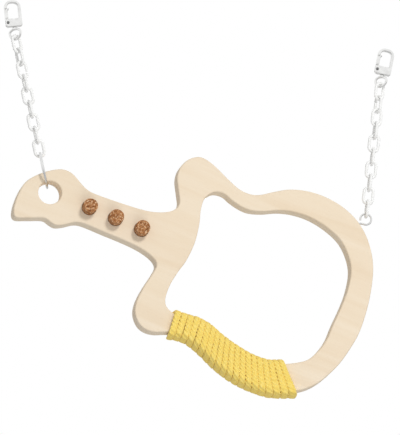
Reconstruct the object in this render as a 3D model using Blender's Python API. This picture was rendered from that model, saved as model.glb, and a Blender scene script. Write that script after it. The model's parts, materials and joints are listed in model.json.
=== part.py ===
"""Hanging perch for a pet bird: a guitar-shaped wooden board on two plastic chains.

The board hangs in the plane y = 0 with its front towards -Y and up along +Z. Each chain ends in a swivel
snap hook. The origin is the seat inside the top of the left hook, where it hangs on a cage bar.
"""
import math

import bmesh
import bpy
import numpy as np
from mathutils import Matrix, Vector
from mathutils.geometry import tessellate_polygon

MM = 0.001

# Fits: between pieces, and the play where each chain hangs on a swivel eye or on the screw eye
CLEARANCE = 0.3 * MM
PIVOT_PLAY = 0.6 * MM

# Facets of round shapes
SMALL_SIDES = 12
POST_SIDES = 16
CORK_SIDES = 24
POCKET_SIDES = 32
HEAD_HOLE_SIDES = 28
BEND_STEPS = 6
HALF_EYE_STEPS = 8
SCREW_EYE_STEPS = 20
RING_STEPS = 26

# Board
BOARD_THICKNESS = 15 * MM
BOARD_EDGE_ROUND = 2 * MM
BOARD_HANG_ANGLE = math.radians(21)
OUTLINE_STEP = 5 * MM
HEAD_HOLE_RADIUS = 9.2 * MM

# Cork plugs in blind pockets along the neck
CORK_RADIUS = 5.8 * MM
CORK_CHAMFER = 0.5 * MM
CORK_PROUD = 9 * MM
CORK_POCKET_DEPTH = 8 * MM
CORK_PLACES = ((33.2, 0.9), (55.5, 0.9), (77.8, 0.9))

# Rope wound on the lower rail
ROPE_RADIUS = 1.8 * MM
ROPE_TURNS = 20
ROPE_LIFT = 0.4 * MM
ROPE_END_DEPTH = 5 * MM
ROPE_HOLE_OFFSET = 1.6 * MM

# Screw eye in the upper edge of the body
SCREW_EYE_RADIUS = 4.4 * MM
SCREW_EYE_WIRE = 0.8 * MM
SCREW_EYE_NECK = 3 * MM
SCREW_EYE_SHANK = 12 * MM
SCREW_EYE_TIP = 2.5 * MM

# Steel ring through the headstock
RING_RADIUS = 14 * MM
RING_WIRE = 1 * MM
RING_SPLIT = 0.6 * MM

# Chain links
LINK_WIRE = 1.15 * MM
LINK_PITCH = 10.7 * MM
LINK_WIDTH = 9.6 * MM

# Swivel snap hooks
HOOK_HALF_WIDTH = 6.6 * MM
HOOK_BAR = 2.3 * MM
HOOK_DEPTH = 4.4 * MM
HOOK_CORNER = 5.6 * MM
HOOK_THROAT = 12.4 * MM
HOOK_BASE_HEIGHT = 6.8 * MM
HOOK_BASE_CHAMFER = 1.2 * MM
HOOK_NOSE = 4.6 * MM
HOOK_EDGE_ROUND = 0.6 * MM
GATE_TONGUE_WIDTH = 1.6 * MM
GATE_HEEL_RADIUS = 1.4 * MM
GATE_END_GAP = 0.6 * MM
GATE_LIP = 0.9 * MM
GATE_LIP_REACH = 0.7 * MM
GATE_OPENING = math.radians(25)
RIVET_RADIUS = 0.8 * MM
RIVET_HEAD_RADIUS = 1.2 * MM
RIVET_HEAD_HEIGHT = 0.4 * MM
RIVET_CROWN_RADIUS = 0.7 * MM
RIVET_INSET = 1.6 * MM
RIVET_DROP = 3.2 * MM
SPRING_THICKNESS = 0.35 * MM
SPRING_BOW = 0.25 * MM
POST_RADIUS = 1 * MM
POST_HEAD_RADIUS = 1.8 * MM
POST_HEAD_HEIGHT = 1.3 * MM
POST_FLOOR = 2.2 * MM
COLLAR_RADIUS = 1.9 * MM
COLLAR_HEIGHT = 1.9 * MM
EYE_WIRE = 1 * MM
EYE_HALF_WIDTH = 5.2 * MM
EYE_SHOULDER = 2.9 * MM

# How the two chains hang: lean from vertical towards +X at the top, and each link's turn about the chain
LEFT_HOOK_LEAN = math.radians(-7.1)
LEFT_CHAIN_LEAN = math.radians(-12.2)
LEFT_LINK_TURNS = (29, 114, 15, 95, 0, 90, 0, 90, 0)
RIGHT_HOOK_LEAN = math.radians(10.7)
RIGHT_CHAIN_LEAN = math.radians(6.2)
RIGHT_LINK_TURNS = (29, 114, 15, 95, 0, 90, 0, 90, 0, 90)
SWIVEL_EYE_TURN = -45
RING_TURN = 80

# Board outline in millimetres from the headstock hole, along the neck and across it.
# The rail under the rope is given as pairs of points, window edge then outer edge, from left to right.
SCREW_EYE_PLACE = (236.8, 73.9)
RAIL = (
    ((127, -52), (127, -67.5)),
    ((136, -51.5), (136, -65)),
    ((146, -50.5), (146, -65)),
    ((157, -52), (158, -69)),
    ((169, -56), (172, -75)),
    ((182, -59), (187, -79)),
    ((196, -61), (203, -80.5)),
    ((210, -60), (220, -79)),
    ((222, -55), (237, -72.5)),
)
OUTER_TOP = (
    (-18, -29), (-22, -23), (-22.8, -9.7), (-20.2, 1.8), (-11, 12.9), (-0.2, 20.4), (7, 22), (13.2, 20.5),
    (22, 15.8), (29, 13.5), (38, 13.4), (56, 14.5), (74, 16.3), (84, 18.7), (92, 22.4), (97, 27), (98, 33),
    (94, 41), (89, 51), (88.5, 60), (92, 68), (98, 73), (104, 74), (114, 71.5), (127, 66), (138, 62),
    (147, 61.5), (155, 64), (165, 71), (176, 77.7), (190, 82), (205, 83.1), (221.3, 80.7), SCREW_EYE_PLACE,
    (250, 61.8), (260.2, 44.5), (266.3, 20.2), (268.4, -5), (266.4, -22.3), (261.2, -41.5), (250.8, -60.8),
)
OUTER_LEFT = (
    (118, -71.5), (110, -72.5), (103, -70), (97, -63), (95, -54), (96, -42), (99, -27), (99, -20.5),
    (94, -16.5), (84, -13.8), (70, -12.7), (50, -12.7), (34, -12.7), (27, -14.5), (20, -19.5), (14, -22.5),
    (9, -22), (3, -21), (-8, -25.5),
)
WINDOW_REST = (
    (232, -49.5), (238.5, -44), (243, -35), (246, -24), (246.5, -10), (247.5, 6), (247.3, 20), (244.5, 35),
    (238, 46), (228, 55), (215, 60.2), (200, 62.8), (186, 61.9), (174, 58.4), (163, 52.8), (153, 49.4),
    (145, 49.2), (136, 51), (129, 53.3), (122, 52.4), (117.8, 48.7), (115.3, 43), (116, 34), (119, 23),
    (121, 8), (120, -8), (117, -20), (115, -32), (115.5, -43), (119, -49),
)


def clear_scene():
    for old in list(bpy.data.objects):
        bpy.data.objects.remove(old)


def material(name, colour, roughness, metallic=0.0):
    made = bpy.data.materials.new(name)
    made.use_nodes = True
    shader = made.node_tree.nodes["Principled BSDF"]
    shader.inputs["Base Color"].default_value = (*colour, 1)
    shader.inputs["Roughness"].default_value = roughness
    shader.inputs["Metallic"].default_value = metallic
    return made


def add_object(name, data, finish=None, parent=None, place=None):
    made = bpy.data.objects.new(name, data)
    bpy.context.scene.collection.objects.link(made)
    if finish is not None:
        data.materials.clear()
        data.materials.append(finish)
    made.parent = parent
    made.matrix_basis = place or Matrix()
    return made


def add_empty(name, place, parent=None):
    return add_object(name, None, parent=parent, place=place)


def add_cutter(name, mesh, parent, place=None):
    made = add_object(name, mesh, parent=parent, place=place)
    made.hide_render = True
    made.display_type = "WIRE"
    return made


def boolean(target, tool, operation):
    step = target.modifiers.new(tool.name, "BOOLEAN")
    step.operation = operation
    step.solver = "EXACT"
    step.object = tool


def shade(mesh, sharp_angle=40):
    mesh.shade_smooth()
    mesh.set_sharp_from_angle(angle=math.radians(sharp_angle))


def mesh_from(name, verts, faces):
    work = bmesh.new()
    made = [work.verts.new(v) for v in verts]
    for face in faces:
        work.faces.new([made[i] for i in face])
    bmesh.ops.recalc_face_normals(work, faces=work.faces)
    mesh = bpy.data.meshes.new(name)
    work.to_mesh(mesh)
    work.free()
    shade(mesh)
    return mesh


def lathe(name, profile, sides):
    """Turned solid about Z from (radius, height) points that start and end on the axis."""
    verts = [(0, 0, profile[0][1])]
    for radius, height in profile[1:-1]:
        for k in range(sides):
            angle = 2 * math.pi * (k + 0.5) / sides
            verts.append((radius * math.cos(angle), radius * math.sin(angle), height))
    verts.append((0, 0, profile[-1][1]))
    rings = len(profile) - 2
    last = len(verts) - 1
    faces = []
    for k in range(sides):
        n = (k + 1) % sides
        faces.append((0, 1 + k, 1 + n))
        for ring in range(rings - 1):
            a = 1 + ring * sides
            faces.append((a + k, a + n, a + sides + n, a + sides + k))
        a = 1 + (rings - 1) * sides
        faces.append((a + k, a + n, last))
    return mesh_from(name, verts, faces)


def cylinder(name, radius, low, high, sides):
    return lathe(name, ((0, high), (radius, high), (radius, low), (0, low)), sides)


def prism(name, outline, depth):
    """Flat outline in XZ, extruded along Y about y = 0."""
    count = len(outline)
    verts = [(x, y, z) for y in (-depth / 2, depth / 2) for x, z in outline]
    faces = [tuple(range(count)), tuple(range(count, 2 * count))]
    faces += [(k, (k + 1) % count, count + (k + 1) % count, count + k) for k in range(count)]
    return mesh_from(name, verts, faces)


def arc(centre, radius, start, end, steps):
    """Points of an arc in XZ, angles in degrees, both ends included."""
    angles = [math.radians(start + (end - start) * k / steps) for k in range(steps + 1)]
    return [(centre[0] + radius * math.cos(a), centre[1] + radius * math.sin(a)) for a in angles]


def wire(name, points, radius, closed, sides_step=1):
    """Round wire along the points, as a curve with a bevel."""
    curve = bpy.data.curves.new(name, "CURVE")
    curve.dimensions = "3D"
    curve.bevel_depth = radius
    curve.bevel_resolution = sides_step
    curve.use_fill_caps = True
    spline = curve.splines.new("POLY")
    spline.points.add(len(points) - 1)
    for spot, point in zip(spline.points, points):
        spot.co = (*point, 1)
    spline.use_cyclic_u = closed
    return curve


def wire_mesh(name, points, radius, closed, sides_step=2):
    """The same wire as a mesh, so that it can be joined to another shape."""
    holder = add_object(name + "_path", wire(name, points, radius, closed, sides_step))
    bpy.context.view_layer.update()
    mesh = bpy.data.meshes.new_from_object(holder.evaluated_get(bpy.context.evaluated_depsgraph_get()))
    bpy.data.objects.remove(holder)
    shade(mesh)
    return mesh


def spline_point(p0, p1, p2, p3, t):
    """Catmull-Rom curve between p1 and p2."""
    return 0.5 * (2 * p1 + (p2 - p0) * t + (2 * p0 - 5 * p1 + 4 * p2 - p3) * t**2
                  + (3 * p1 - p0 - 3 * p2 + p3) * t**3)


def smooth_loop(points):
    """Closed smooth curve through points in millimetres, in steps of about OUTLINE_STEP."""
    given = np.array(points) * MM
    count = len(given)
    made = []
    for k in range(count):
        p0, p1, p2, p3 = (given[(k + step) % count] for step in (-1, 0, 1, 2))
        steps = max(1, round(np.linalg.norm(p2 - p1) / OUTLINE_STEP))
        made += [spline_point(p0, p1, p2, p3, t / steps) for t in range(steps)]
    return np.array(made)


def moved_into_wood(loop, distance, wood_inside):
    """The loop moved along its normals, inwards on the outer edge and outwards round a hole."""
    tangent = np.roll(loop, -1, axis=0) - np.roll(loop, 1, axis=0)
    tangent /= np.linalg.norm(tangent, axis=1)[:, None]
    normal = np.column_stack((-tangent[:, 1], tangent[:, 0]))
    turned = np.roll(loop, -1, axis=0)
    area = np.sum(loop[:, 0] * turned[:, 1] - loop[:, 1] * turned[:, 0])
    inward = normal if area > 0 else -normal
    return loop + distance * (inward if wood_inside else -inward)


def edge_profile():
    """Rounded edge from the front face to the back face, as (inset from the outline, y)."""
    half = BOARD_THICKNESS / 2
    front = []
    for angle in (0, 45, 90):
        a = math.radians(angle)
        front.append((BOARD_EDGE_ROUND * (1 - math.sin(a)), -half + BOARD_EDGE_ROUND * (1 - math.cos(a))))
    return front + [(inset, -y) for inset, y in reversed(front)]


def board_loops():
    outer = OUTER_TOP + tuple(pair[1] for pair in reversed(RAIL)) + OUTER_LEFT
    window = tuple(pair[0] for pair in RAIL) + WINDOW_REST
    hole = arc((0, 0), HEAD_HOLE_RADIUS, 0, 360, HEAD_HOLE_SIDES)[:-1]
    return ((smooth_loop(outer), True), (smooth_loop(window), False), (np.array(hole), False))


def board_mesh():
    verts = []
    faces = []
    front = []
    back = []
    for loop, wood_inside in board_loops():
        count = len(loop)
        rings = []
        for inset, y in edge_profile():
            rings.append(len(verts))
            verts += [(x, y, z) for x, z in moved_into_wood(loop, inset, wood_inside)]
        for a, b in zip(rings, rings[1:]):
            faces += [(a + k, a + (k + 1) % count, b + (k + 1) % count, b + k) for k in range(count)]
        front.append(range(rings[0], rings[0] + count))
        back.append(range(rings[-1], rings[-1] + count))
    for side in (front, back):
        order = [k for ring in side for k in ring]
        flat = [[Vector((verts[k][0], verts[k][2], 0)) for k in ring] for ring in side]
        faces += [tuple(order[k] for k in triangle) for triangle in tessellate_polygon(flat)]
    return mesh_from("guitar_board", verts, faces)


def rail_edges(share):
    """Window edge and outer edge of the rail, at a share from 0 to 1 of the rope's run."""
    pairs = np.array(RAIL) * MM
    before = 2 * pairs[0] - pairs[1]
    after = 2 * pairs[-1] - pairs[-2]
    pairs = np.concatenate((before[None], pairs, after[None]))
    spans = len(RAIL) - 1
    at = min(max(share, 0), 1) * spans
    k = min(int(at), spans - 1)
    return spline_point(*pairs[k:k + 4], at - k)


def even_shares(count):
    """Shares that step evenly along the middle of the rail."""
    fine = np.linspace(0, 1, 400)
    middle = np.array([rail_edges(s).mean(axis=0) for s in fine])
    run = np.concatenate(((0,), np.cumsum(np.linalg.norm(np.diff(middle, axis=0), axis=1))))
    return np.interp(np.linspace(0, run[-1], count), run, fine)


def rope_section():
    """One turn round the rail as 24 points: two on each straight side and four round each corner.

    Each point is (side, corner angle or None, share of half the straight side from its middle).
    """
    turn = []
    for side in range(4):
        for place in (-2 / 3, 2 / 3):
            turn.append((side, None, place))
        for angle in (0, 30, 60, 90):
            turn.append((side, angle, 0))
    return turn


def rope_point(share, spot, height):
    """Point of the winding, at a height over the wood, as (along, depth, across) in the board."""
    side, angle, place = spot
    inner, outer = rail_edges(share)
    half_width = np.linalg.norm(inner - outer) / 2
    across = (inner - outer) / (2 * half_width)
    straight = (half_width - BOARD_EDGE_ROUND, BOARD_THICKNESS / 2 - BOARD_EDGE_ROUND)
    reach = BOARD_EDGE_ROUND + height
    a = math.radians(angle or 0)
    if angle is None:
        local = (straight[side % 2] * place, straight[(side + 1) % 2] + reach)
    else:
        local = (straight[side % 2] + reach * math.sin(a), straight[(side + 1) % 2] + reach * math.cos(a))
    w, d = local
    for _ in range(side):
        w, d = d, -w
    centre = (inner + outer) / 2 + w * across
    return np.array((centre[0], d, centre[1]))


def rope_hole(share, offset):
    """Where a rope end goes into the back of the rail, at an offset from its middle towards the window."""
    inner, outer = rail_edges(share)
    width = np.linalg.norm(inner - outer)
    centre = (inner + outer) / 2 + offset / width * (inner - outer)
    return np.array((centre[0], BOARD_THICKNESS / 2, centre[1]))


def rope_path():
    """The winding from end to end. Each end turns square into its hole in the back of the rail."""
    turn = rope_section()
    shares = even_shares(ROPE_TURNS * len(turn) + 2)
    lift = ROPE_RADIUS + ROPE_LIFT
    spots = [turn[1]] + turn[2:] + turn * (ROPE_TURNS - 1) + [turn[0]]
    path = [rope_point(share, spot, lift) for share, spot in zip(shares[1:-1], spots)]
    first_hole = rope_hole(shares[0], -ROPE_HOLE_OFFSET)
    last_hole = rope_hole(shares[-1], ROPE_HOLE_OFFSET)
    start = rope_end(first_hole, path[0], lift)
    end = rope_end(last_hole, path[-1], lift)
    return start + path + end[::-1], (first_hole, last_hole)


def rope_end(hole, towards, lift):
    """Straight out of the hole, then a quarter bend of radius lift towards the winding's nearest point."""
    run = Vector(towards) - Vector(hole)
    run.y = 0
    run.normalize()
    points = [Vector(hole) + Vector((0, -ROPE_END_DEPTH, 0))]
    for angle in (0, 30, 60, 90):
        a = math.radians(angle)
        points.append(Vector(hole) + run * lift * (1 - math.cos(a)) + Vector((0, lift * math.sin(a), 0)))
    return [np.array(p) for p in points]


def least_gap(path, turn_points, radius):
    """Smallest gap between neighbouring turns, measured on points along the path."""
    fine = np.concatenate([path[:-1] + (path[1:] - path[:-1]) * t for t in (0, 0.25, 0.5, 0.75)])
    order = np.concatenate([np.arange(len(path) - 1) + t for t in (0, 0.25, 0.5, 0.75)])
    apart = np.linalg.norm(fine[:, None] - fine[None], axis=2)
    apart[np.abs(order[:, None] - order[None]) < turn_points / 2] = np.inf
    return apart.min() - 2 * radius


def stadium(length, width, arc_steps):
    """Centre line of a chain link in XZ, long side along Z."""
    radius = width / 2
    straight = length / 2 - radius
    return [(x, 0, z) for x, z in
            arc((0, straight), radius, 0, 180, arc_steps) + arc((0, -straight), radius, 180, 360, arc_steps)]


def turned(lean, turn=0.0):
    """Rotation for a piece that leans towards +X by lean and is turned about its own length."""
    return Matrix.Rotation(lean, 4, "Y") @ Matrix.Rotation(turn, 4, "Z")


def up_along(lean):
    return Vector((math.sin(lean), 0, math.cos(lean)))


def seat_to_eye():
    """Distance from a hook's seat down to the centre of the wire at the bottom of its swivel eye."""
    base_bottom = HOOK_THROAT + HOOK_BASE_HEIGHT
    loop_top = base_bottom + CLEARANCE + COLLAR_HEIGHT - EYE_WIRE / 2
    return loop_top + EYE_SHOULDER + EYE_HALF_WIDTH


def hook_outline():
    half = HOOK_HALF_WIDTH
    inside = half - HOOK_BAR
    corner_x = half - HOOK_CORNER
    corner_z = HOOK_BAR - HOOK_CORNER
    inner_radius = HOOK_CORNER - HOOK_BAR
    bottom = -HOOK_THROAT - HOOK_BASE_HEIGHT
    foot = half - HOOK_BASE_CHAMFER
    points = [(-foot, bottom), (foot, bottom), (half, bottom + HOOK_BASE_CHAMFER)]
    points += arc((corner_x, corner_z), HOOK_CORNER, 0, 90, BEND_STEPS)
    points += arc((-corner_x, corner_z), HOOK_CORNER, 90, 180, BEND_STEPS)
    points += [(-half, -HOOK_NOSE), (-inside, -HOOK_NOSE)]
    points += arc((-corner_x, corner_z), inner_radius, 180, 90, BEND_STEPS)
    points += arc((corner_x, corner_z), inner_radius, 90, 0, BEND_STEPS)
    points += [(inside, -HOOK_THROAT), (-half, -HOOK_THROAT), (-half, bottom + HOOK_BASE_CHAMFER)]
    return points


def gate_pivot():
    return Vector((-HOOK_HALF_WIDTH + RIVET_INSET, 0, -HOOK_THROAT - RIVET_DROP))


def add_hook(side, lean, seat, finish):
    """Swivel snap hook: frame, sprung gate on its rivet, and the swivel eye below."""
    frame_place = add_empty(side + "_hook_axis", Matrix.Translation(seat) @ turned(lean))
    half = HOOK_HALF_WIDTH
    inside = half - HOOK_BAR
    pivot = gate_pivot()
    base_top = -HOOK_THROAT
    base_bottom = base_top - HOOK_BASE_HEIGHT
    heel_reach = GATE_HEEL_RADIUS + CLEARANCE
    spring_top = pivot.z - heel_reach
    slot_floor = spring_top - SPRING_THICKNESS - SPRING_BOW - CLEARANCE
    counterbore_floor = base_bottom + POST_FLOOR

    frame = add_object(side + "_hook_frame", prism(side + "_hook_frame", hook_outline(), HOOK_DEPTH),
                       finish["chrome"], frame_place)
    rounding = frame.modifiers.new("edge_round", "BEVEL")
    rounding.width = HOOK_EDGE_ROUND
    rounding.segments = 2
    rounding.limit_method = "ANGLE"
    rounding.angle_limit = math.radians(50)
    swing_room = (base_top - pivot.z) * math.tan(GATE_OPENING) + CLEARANCE
    outside = -half - HOOK_BAR
    above = base_top + HOOK_BAR
    below = base_bottom - HOOK_BAR
    slot_end = pivot.x + heel_reach
    mouth_end = slot_end + swing_room
    slot = [(outside, slot_floor), (slot_end, slot_floor), (slot_end, pivot.z), (mouth_end, base_top),
            (mouth_end, above), (outside, above)]
    across = Matrix.Rotation(math.pi / 2, 4, "X")
    rivet_place = Matrix.Translation(pivot) @ across
    rivet_hole = cylinder("rivet_hole", RIVET_RADIUS + CLEARANCE, -HOOK_DEPTH, HOOK_DEPTH, SMALL_SIDES)
    hole_radius = POST_RADIUS + CLEARANCE
    counterbore_radius = POST_HEAD_RADIUS + CLEARANCE
    bore = ((0, above), (counterbore_radius, above), (counterbore_radius, counterbore_floor),
            (hole_radius, counterbore_floor), (hole_radius, below), (0, below))
    cuts = (
        add_cutter(side + "_gate_slot", prism("slot", slot, GATE_TONGUE_WIDTH + 2 * CLEARANCE), frame_place),
        add_cutter(side + "_rivet_hole", rivet_hole, frame_place, rivet_place),
        add_cutter(side + "_post_bore", lathe("bore", bore, POST_SIDES), frame_place),
    )
    for cut in cuts:
        boolean(frame, cut, "DIFFERENCE")

    gate_top = -HOOK_NOSE - GATE_END_GAP
    lip_inside = -inside + CLEARANCE
    gate_inside = lip_inside - CLEARANCE / 2
    lip_low = gate_top - GATE_LIP
    heel_rise = (gate_inside - pivot.x) * math.tan(GATE_OPENING) + CLEARANCE
    bar = [(-half, base_top + CLEARANCE), (gate_inside, base_top + CLEARANCE + heel_rise),
           (gate_inside, lip_low), (lip_inside + GATE_LIP, gate_top),
           (lip_inside + GATE_LIP, -HOOK_NOSE + GATE_LIP_REACH), (lip_inside, -HOOK_NOSE + GATE_LIP_REACH),
           (lip_inside, gate_top), (-half, gate_top)]
    bar = [(x - pivot.x, z - pivot.z) for x, z in bar]
    gate = add_object(side + "_gate", prism(side + "_gate", bar, HOOK_DEPTH), finish["chrome"], frame_place,
                      Matrix.Translation(pivot))
    tongue_top = base_top + heel_rise + 2 * CLEARANCE - pivot.z
    tongue = [(-GATE_HEEL_RADIUS, tongue_top)] + arc((0, 0), GATE_HEEL_RADIUS, 180, 360, HALF_EYE_STEPS)
    tongue += [(min(GATE_HEEL_RADIUS, gate_inside - pivot.x), tongue_top)]
    tongue = prism("tongue", tongue, GATE_TONGUE_WIDTH)
    boolean(gate, add_cutter(side + "_gate_tongue", tongue, gate), "UNION")
    boolean(gate, add_cutter(side + "_gate_eye", rivet_hole, gate, across), "DIFFERENCE")

    cheek = HOOK_DEPTH / 2 + CLEARANCE
    head = cheek + RIVET_HEAD_HEIGHT
    profile = ((0, head), (RIVET_CROWN_RADIUS, head), (RIVET_HEAD_RADIUS, cheek), (RIVET_RADIUS, cheek),
               (RIVET_RADIUS, -cheek), (RIVET_HEAD_RADIUS, -cheek), (RIVET_CROWN_RADIUS, -head), (0, -head))
    add_object(side + "_gate_rivet", lathe(side + "_gate_rivet", profile, SMALL_SIDES), finish["steel"],
               frame_place, rivet_place)

    left = -half + CLEARANCE
    right = pivot.x + GATE_HEEL_RADIUS
    middle = (left + right) / 2
    low = spring_top - SPRING_BOW
    leaf = [(left, low), (middle, spring_top), (right, low)]
    leaf += [(x, z - SPRING_THICKNESS) for x, z in reversed(leaf)]
    add_object(side + "_gate_spring", prism(side + "_gate_spring", leaf, GATE_TONGUE_WIDTH), finish["steel"],
               frame_place)

    collar_top = base_bottom - CLEARANCE
    collar_low = collar_top - COLLAR_HEIGHT
    head_low = counterbore_floor + CLEARANCE
    head_top = head_low + POST_HEAD_HEIGHT
    loop_centre = -seat_to_eye() + EYE_HALF_WIDTH
    loop = [(x, 0, z) for x, z in arc((0, loop_centre), EYE_HALF_WIDTH, 180, 360, HALF_EYE_STEPS)]
    squeeze = EYE_SHOULDER / EYE_HALF_WIDTH
    shoulder = arc((0, 0), EYE_HALF_WIDTH, 0, 180, HALF_EYE_STEPS)[1:-1]
    loop += [(x, 0, loop_centre + z * squeeze) for x, z in shoulder]
    eye = add_object(side + "_swivel_eye", wire_mesh(side + "_swivel_eye", loop, EYE_WIRE, True),
                     finish["chrome"], frame_place, turned(0, math.radians(SWIVEL_EYE_TURN)))
    post = ((0, head_top), (POST_HEAD_RADIUS, head_top), (POST_HEAD_RADIUS, head_low),
            (POST_RADIUS, head_low), (POST_RADIUS, collar_top),
            (COLLAR_RADIUS, collar_top), (COLLAR_RADIUS, collar_low), (0, collar_low))
    boolean(eye, add_cutter(side + "_post", lathe("post", post, POST_SIDES), frame_place), "UNION")


def link_length():
    """Length of a link's centre line, from the wire at its top to the wire at its bottom."""
    return LINK_PITCH + 2 * LINK_WIRE + CLEARANCE


def chain_drop(count):
    """From the wire at the bottom of a swivel eye to the wire at the bottom of the link of that count."""
    return link_length() - (EYE_WIRE + LINK_WIRE + PIVOT_PLAY) + (count - 1) * LINK_PITCH


def add_chain(side, lean, eye_bottom, link_turns, finish):
    """Links hang in line below the swivel eye. The first two carry the chain's swing and sway."""
    up = up_along(lean)
    centre_line = stadium(link_length(), LINK_WIDTH - 2 * LINK_WIRE, BEND_STEPS)
    shape = wire(side + "_link", centre_line, LINK_WIRE, True)
    shape.materials.append(finish["plastic"])
    first_bottom = eye_bottom - up * chain_drop(1)
    pivots = (add_empty(side + "_swing_pivot", Matrix.Translation(eye_bottom)),
              add_empty(side + "_sway_pivot", Matrix.Translation(first_bottom)))
    for k, turn in enumerate(link_turns):
        centre = eye_bottom - up * (chain_drop(k + 1) - link_length() / 2)
        parent = pivots[min(k, 1)]
        place = Matrix.Translation(centre) @ turned(lean, math.radians(turn))
        add_object(f"{side}_link_{k + 1}", shape, parent=parent, place=parent.matrix_basis.inverted() @ place)


def ring_drop():
    """From the bottom of the left swivel eye down to the wire at the bottom of the headstock ring."""
    return chain_drop(len(LEFT_LINK_TURNS)) - (LINK_WIRE + RING_WIRE + CLEARANCE) + 2 * RING_RADIUS


def ring_to_hole():
    """From the wire at the bottom of the ring up to the top of the headstock hole, which rests on it."""
    inner = RING_RADIUS - RING_WIRE
    through = BOARD_THICKNESS / 2 / math.sin(math.radians(RING_TURN))
    return RING_WIRE + inner - math.sqrt(inner**2 - through**2) + CLEARANCE


def screw_eye_direction():
    """Outward normal of the board's edge at the screw eye, in the board."""
    k = OUTER_TOP.index(SCREW_EYE_PLACE)
    along = Vector(OUTER_TOP[k + 1]) - Vector(OUTER_TOP[k - 1])
    return Vector((-along.y, 0, along.x)).normalized()


def add_board(pivot, pivot_to_hole, finish):
    """The board with its corks, rope and screw eye, all carried by the pivot at the headstock ring."""
    place = Matrix.Translation(pivot_to_hole)
    board = add_object("guitar_board", board_mesh(), finish["wood"], pivot, place)
    front = -BOARD_THICKNESS / 2
    floor = front + CORK_POCKET_DEPTH
    towards_front = Matrix.Rotation(math.pi / 2, 4, "X")
    tip = -front + CORK_PROUD
    base = -floor + CLEARANCE
    profile = ((0, tip), (CORK_RADIUS - CORK_CHAMFER, tip), (CORK_RADIUS, tip - CORK_CHAMFER),
               (CORK_RADIUS, base + CORK_CHAMFER), (CORK_RADIUS - CORK_CHAMFER, base), (0, base))
    for k, (along, across) in enumerate(CORK_PLACES):
        spot = place @ Matrix.Translation((along * MM, 0, across * MM)) @ towards_front
        pocket = cylinder("pocket", CORK_RADIUS + CLEARANCE, -floor, tip, POCKET_SIDES)
        boolean(board, add_cutter(f"cork_pocket_{k + 1}", pocket, pivot, spot), "DIFFERENCE")
        add_object(f"cork_plug_{k + 1}", lathe("cork_plug", profile, CORK_SIDES), finish["cork"], pivot, spot)

    path, holes = rope_path()
    add_object("perch_rope", wire("perch_rope", path, ROPE_RADIUS, False), finish["rope"], pivot, place)
    hole_end = -ROPE_END_DEPTH - CLEARANCE
    for k, hole in enumerate(holes):
        drilled = cylinder("hole", ROPE_RADIUS + ROPE_LIFT, hole_end, BOARD_EDGE_ROUND, POST_SIDES)
        spot = place @ Matrix.Translation(Vector(hole)) @ Matrix.Rotation(-math.pi / 2, 4, "X")
        boolean(board, add_cutter(f"rope_hole_{k + 1}", drilled, pivot, spot), "DIFFERENCE")
    gap = least_gap(np.array(path), len(rope_section()), ROPE_RADIUS)
    print(f"perch_rope: least gap to itself {gap / MM:.2f} mm")

    outward = screw_eye_direction()
    lean = math.atan2(outward.x, outward.z)
    spot = place @ Matrix.Translation((SCREW_EYE_PLACE[0] * MM, 0, SCREW_EYE_PLACE[1] * MM)) @ turned(lean)
    centre = SCREW_EYE_NECK + SCREW_EYE_RADIUS + SCREW_EYE_WIRE
    loop = [(x, 0, z) for x, z in arc((0, centre), SCREW_EYE_RADIUS, 0, 360, SCREW_EYE_STEPS)[:-1]]
    eye_wire = wire_mesh("screw_eye", loop, SCREW_EYE_WIRE, True)
    eye = add_object("screw_eye", eye_wire, finish["steel"], pivot, spot)
    neck = centre - SCREW_EYE_RADIUS
    shank = ((0, neck), (SCREW_EYE_WIRE, neck), (SCREW_EYE_WIRE, SCREW_EYE_TIP - SCREW_EYE_SHANK),
             (0, -SCREW_EYE_SHANK))
    boolean(eye, add_cutter("screw_eye_shank", lathe("shank", shank, POST_SIDES), pivot, spot), "UNION")
    pilot = cylinder("pilot", SCREW_EYE_WIRE + CLEARANCE, -SCREW_EYE_SHANK - CLEARANCE, neck, SMALL_SIDES)
    boolean(board, add_cutter("screw_pilot", pilot, pivot, spot), "DIFFERENCE")
    return spot.translation + outward * centre


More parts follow.
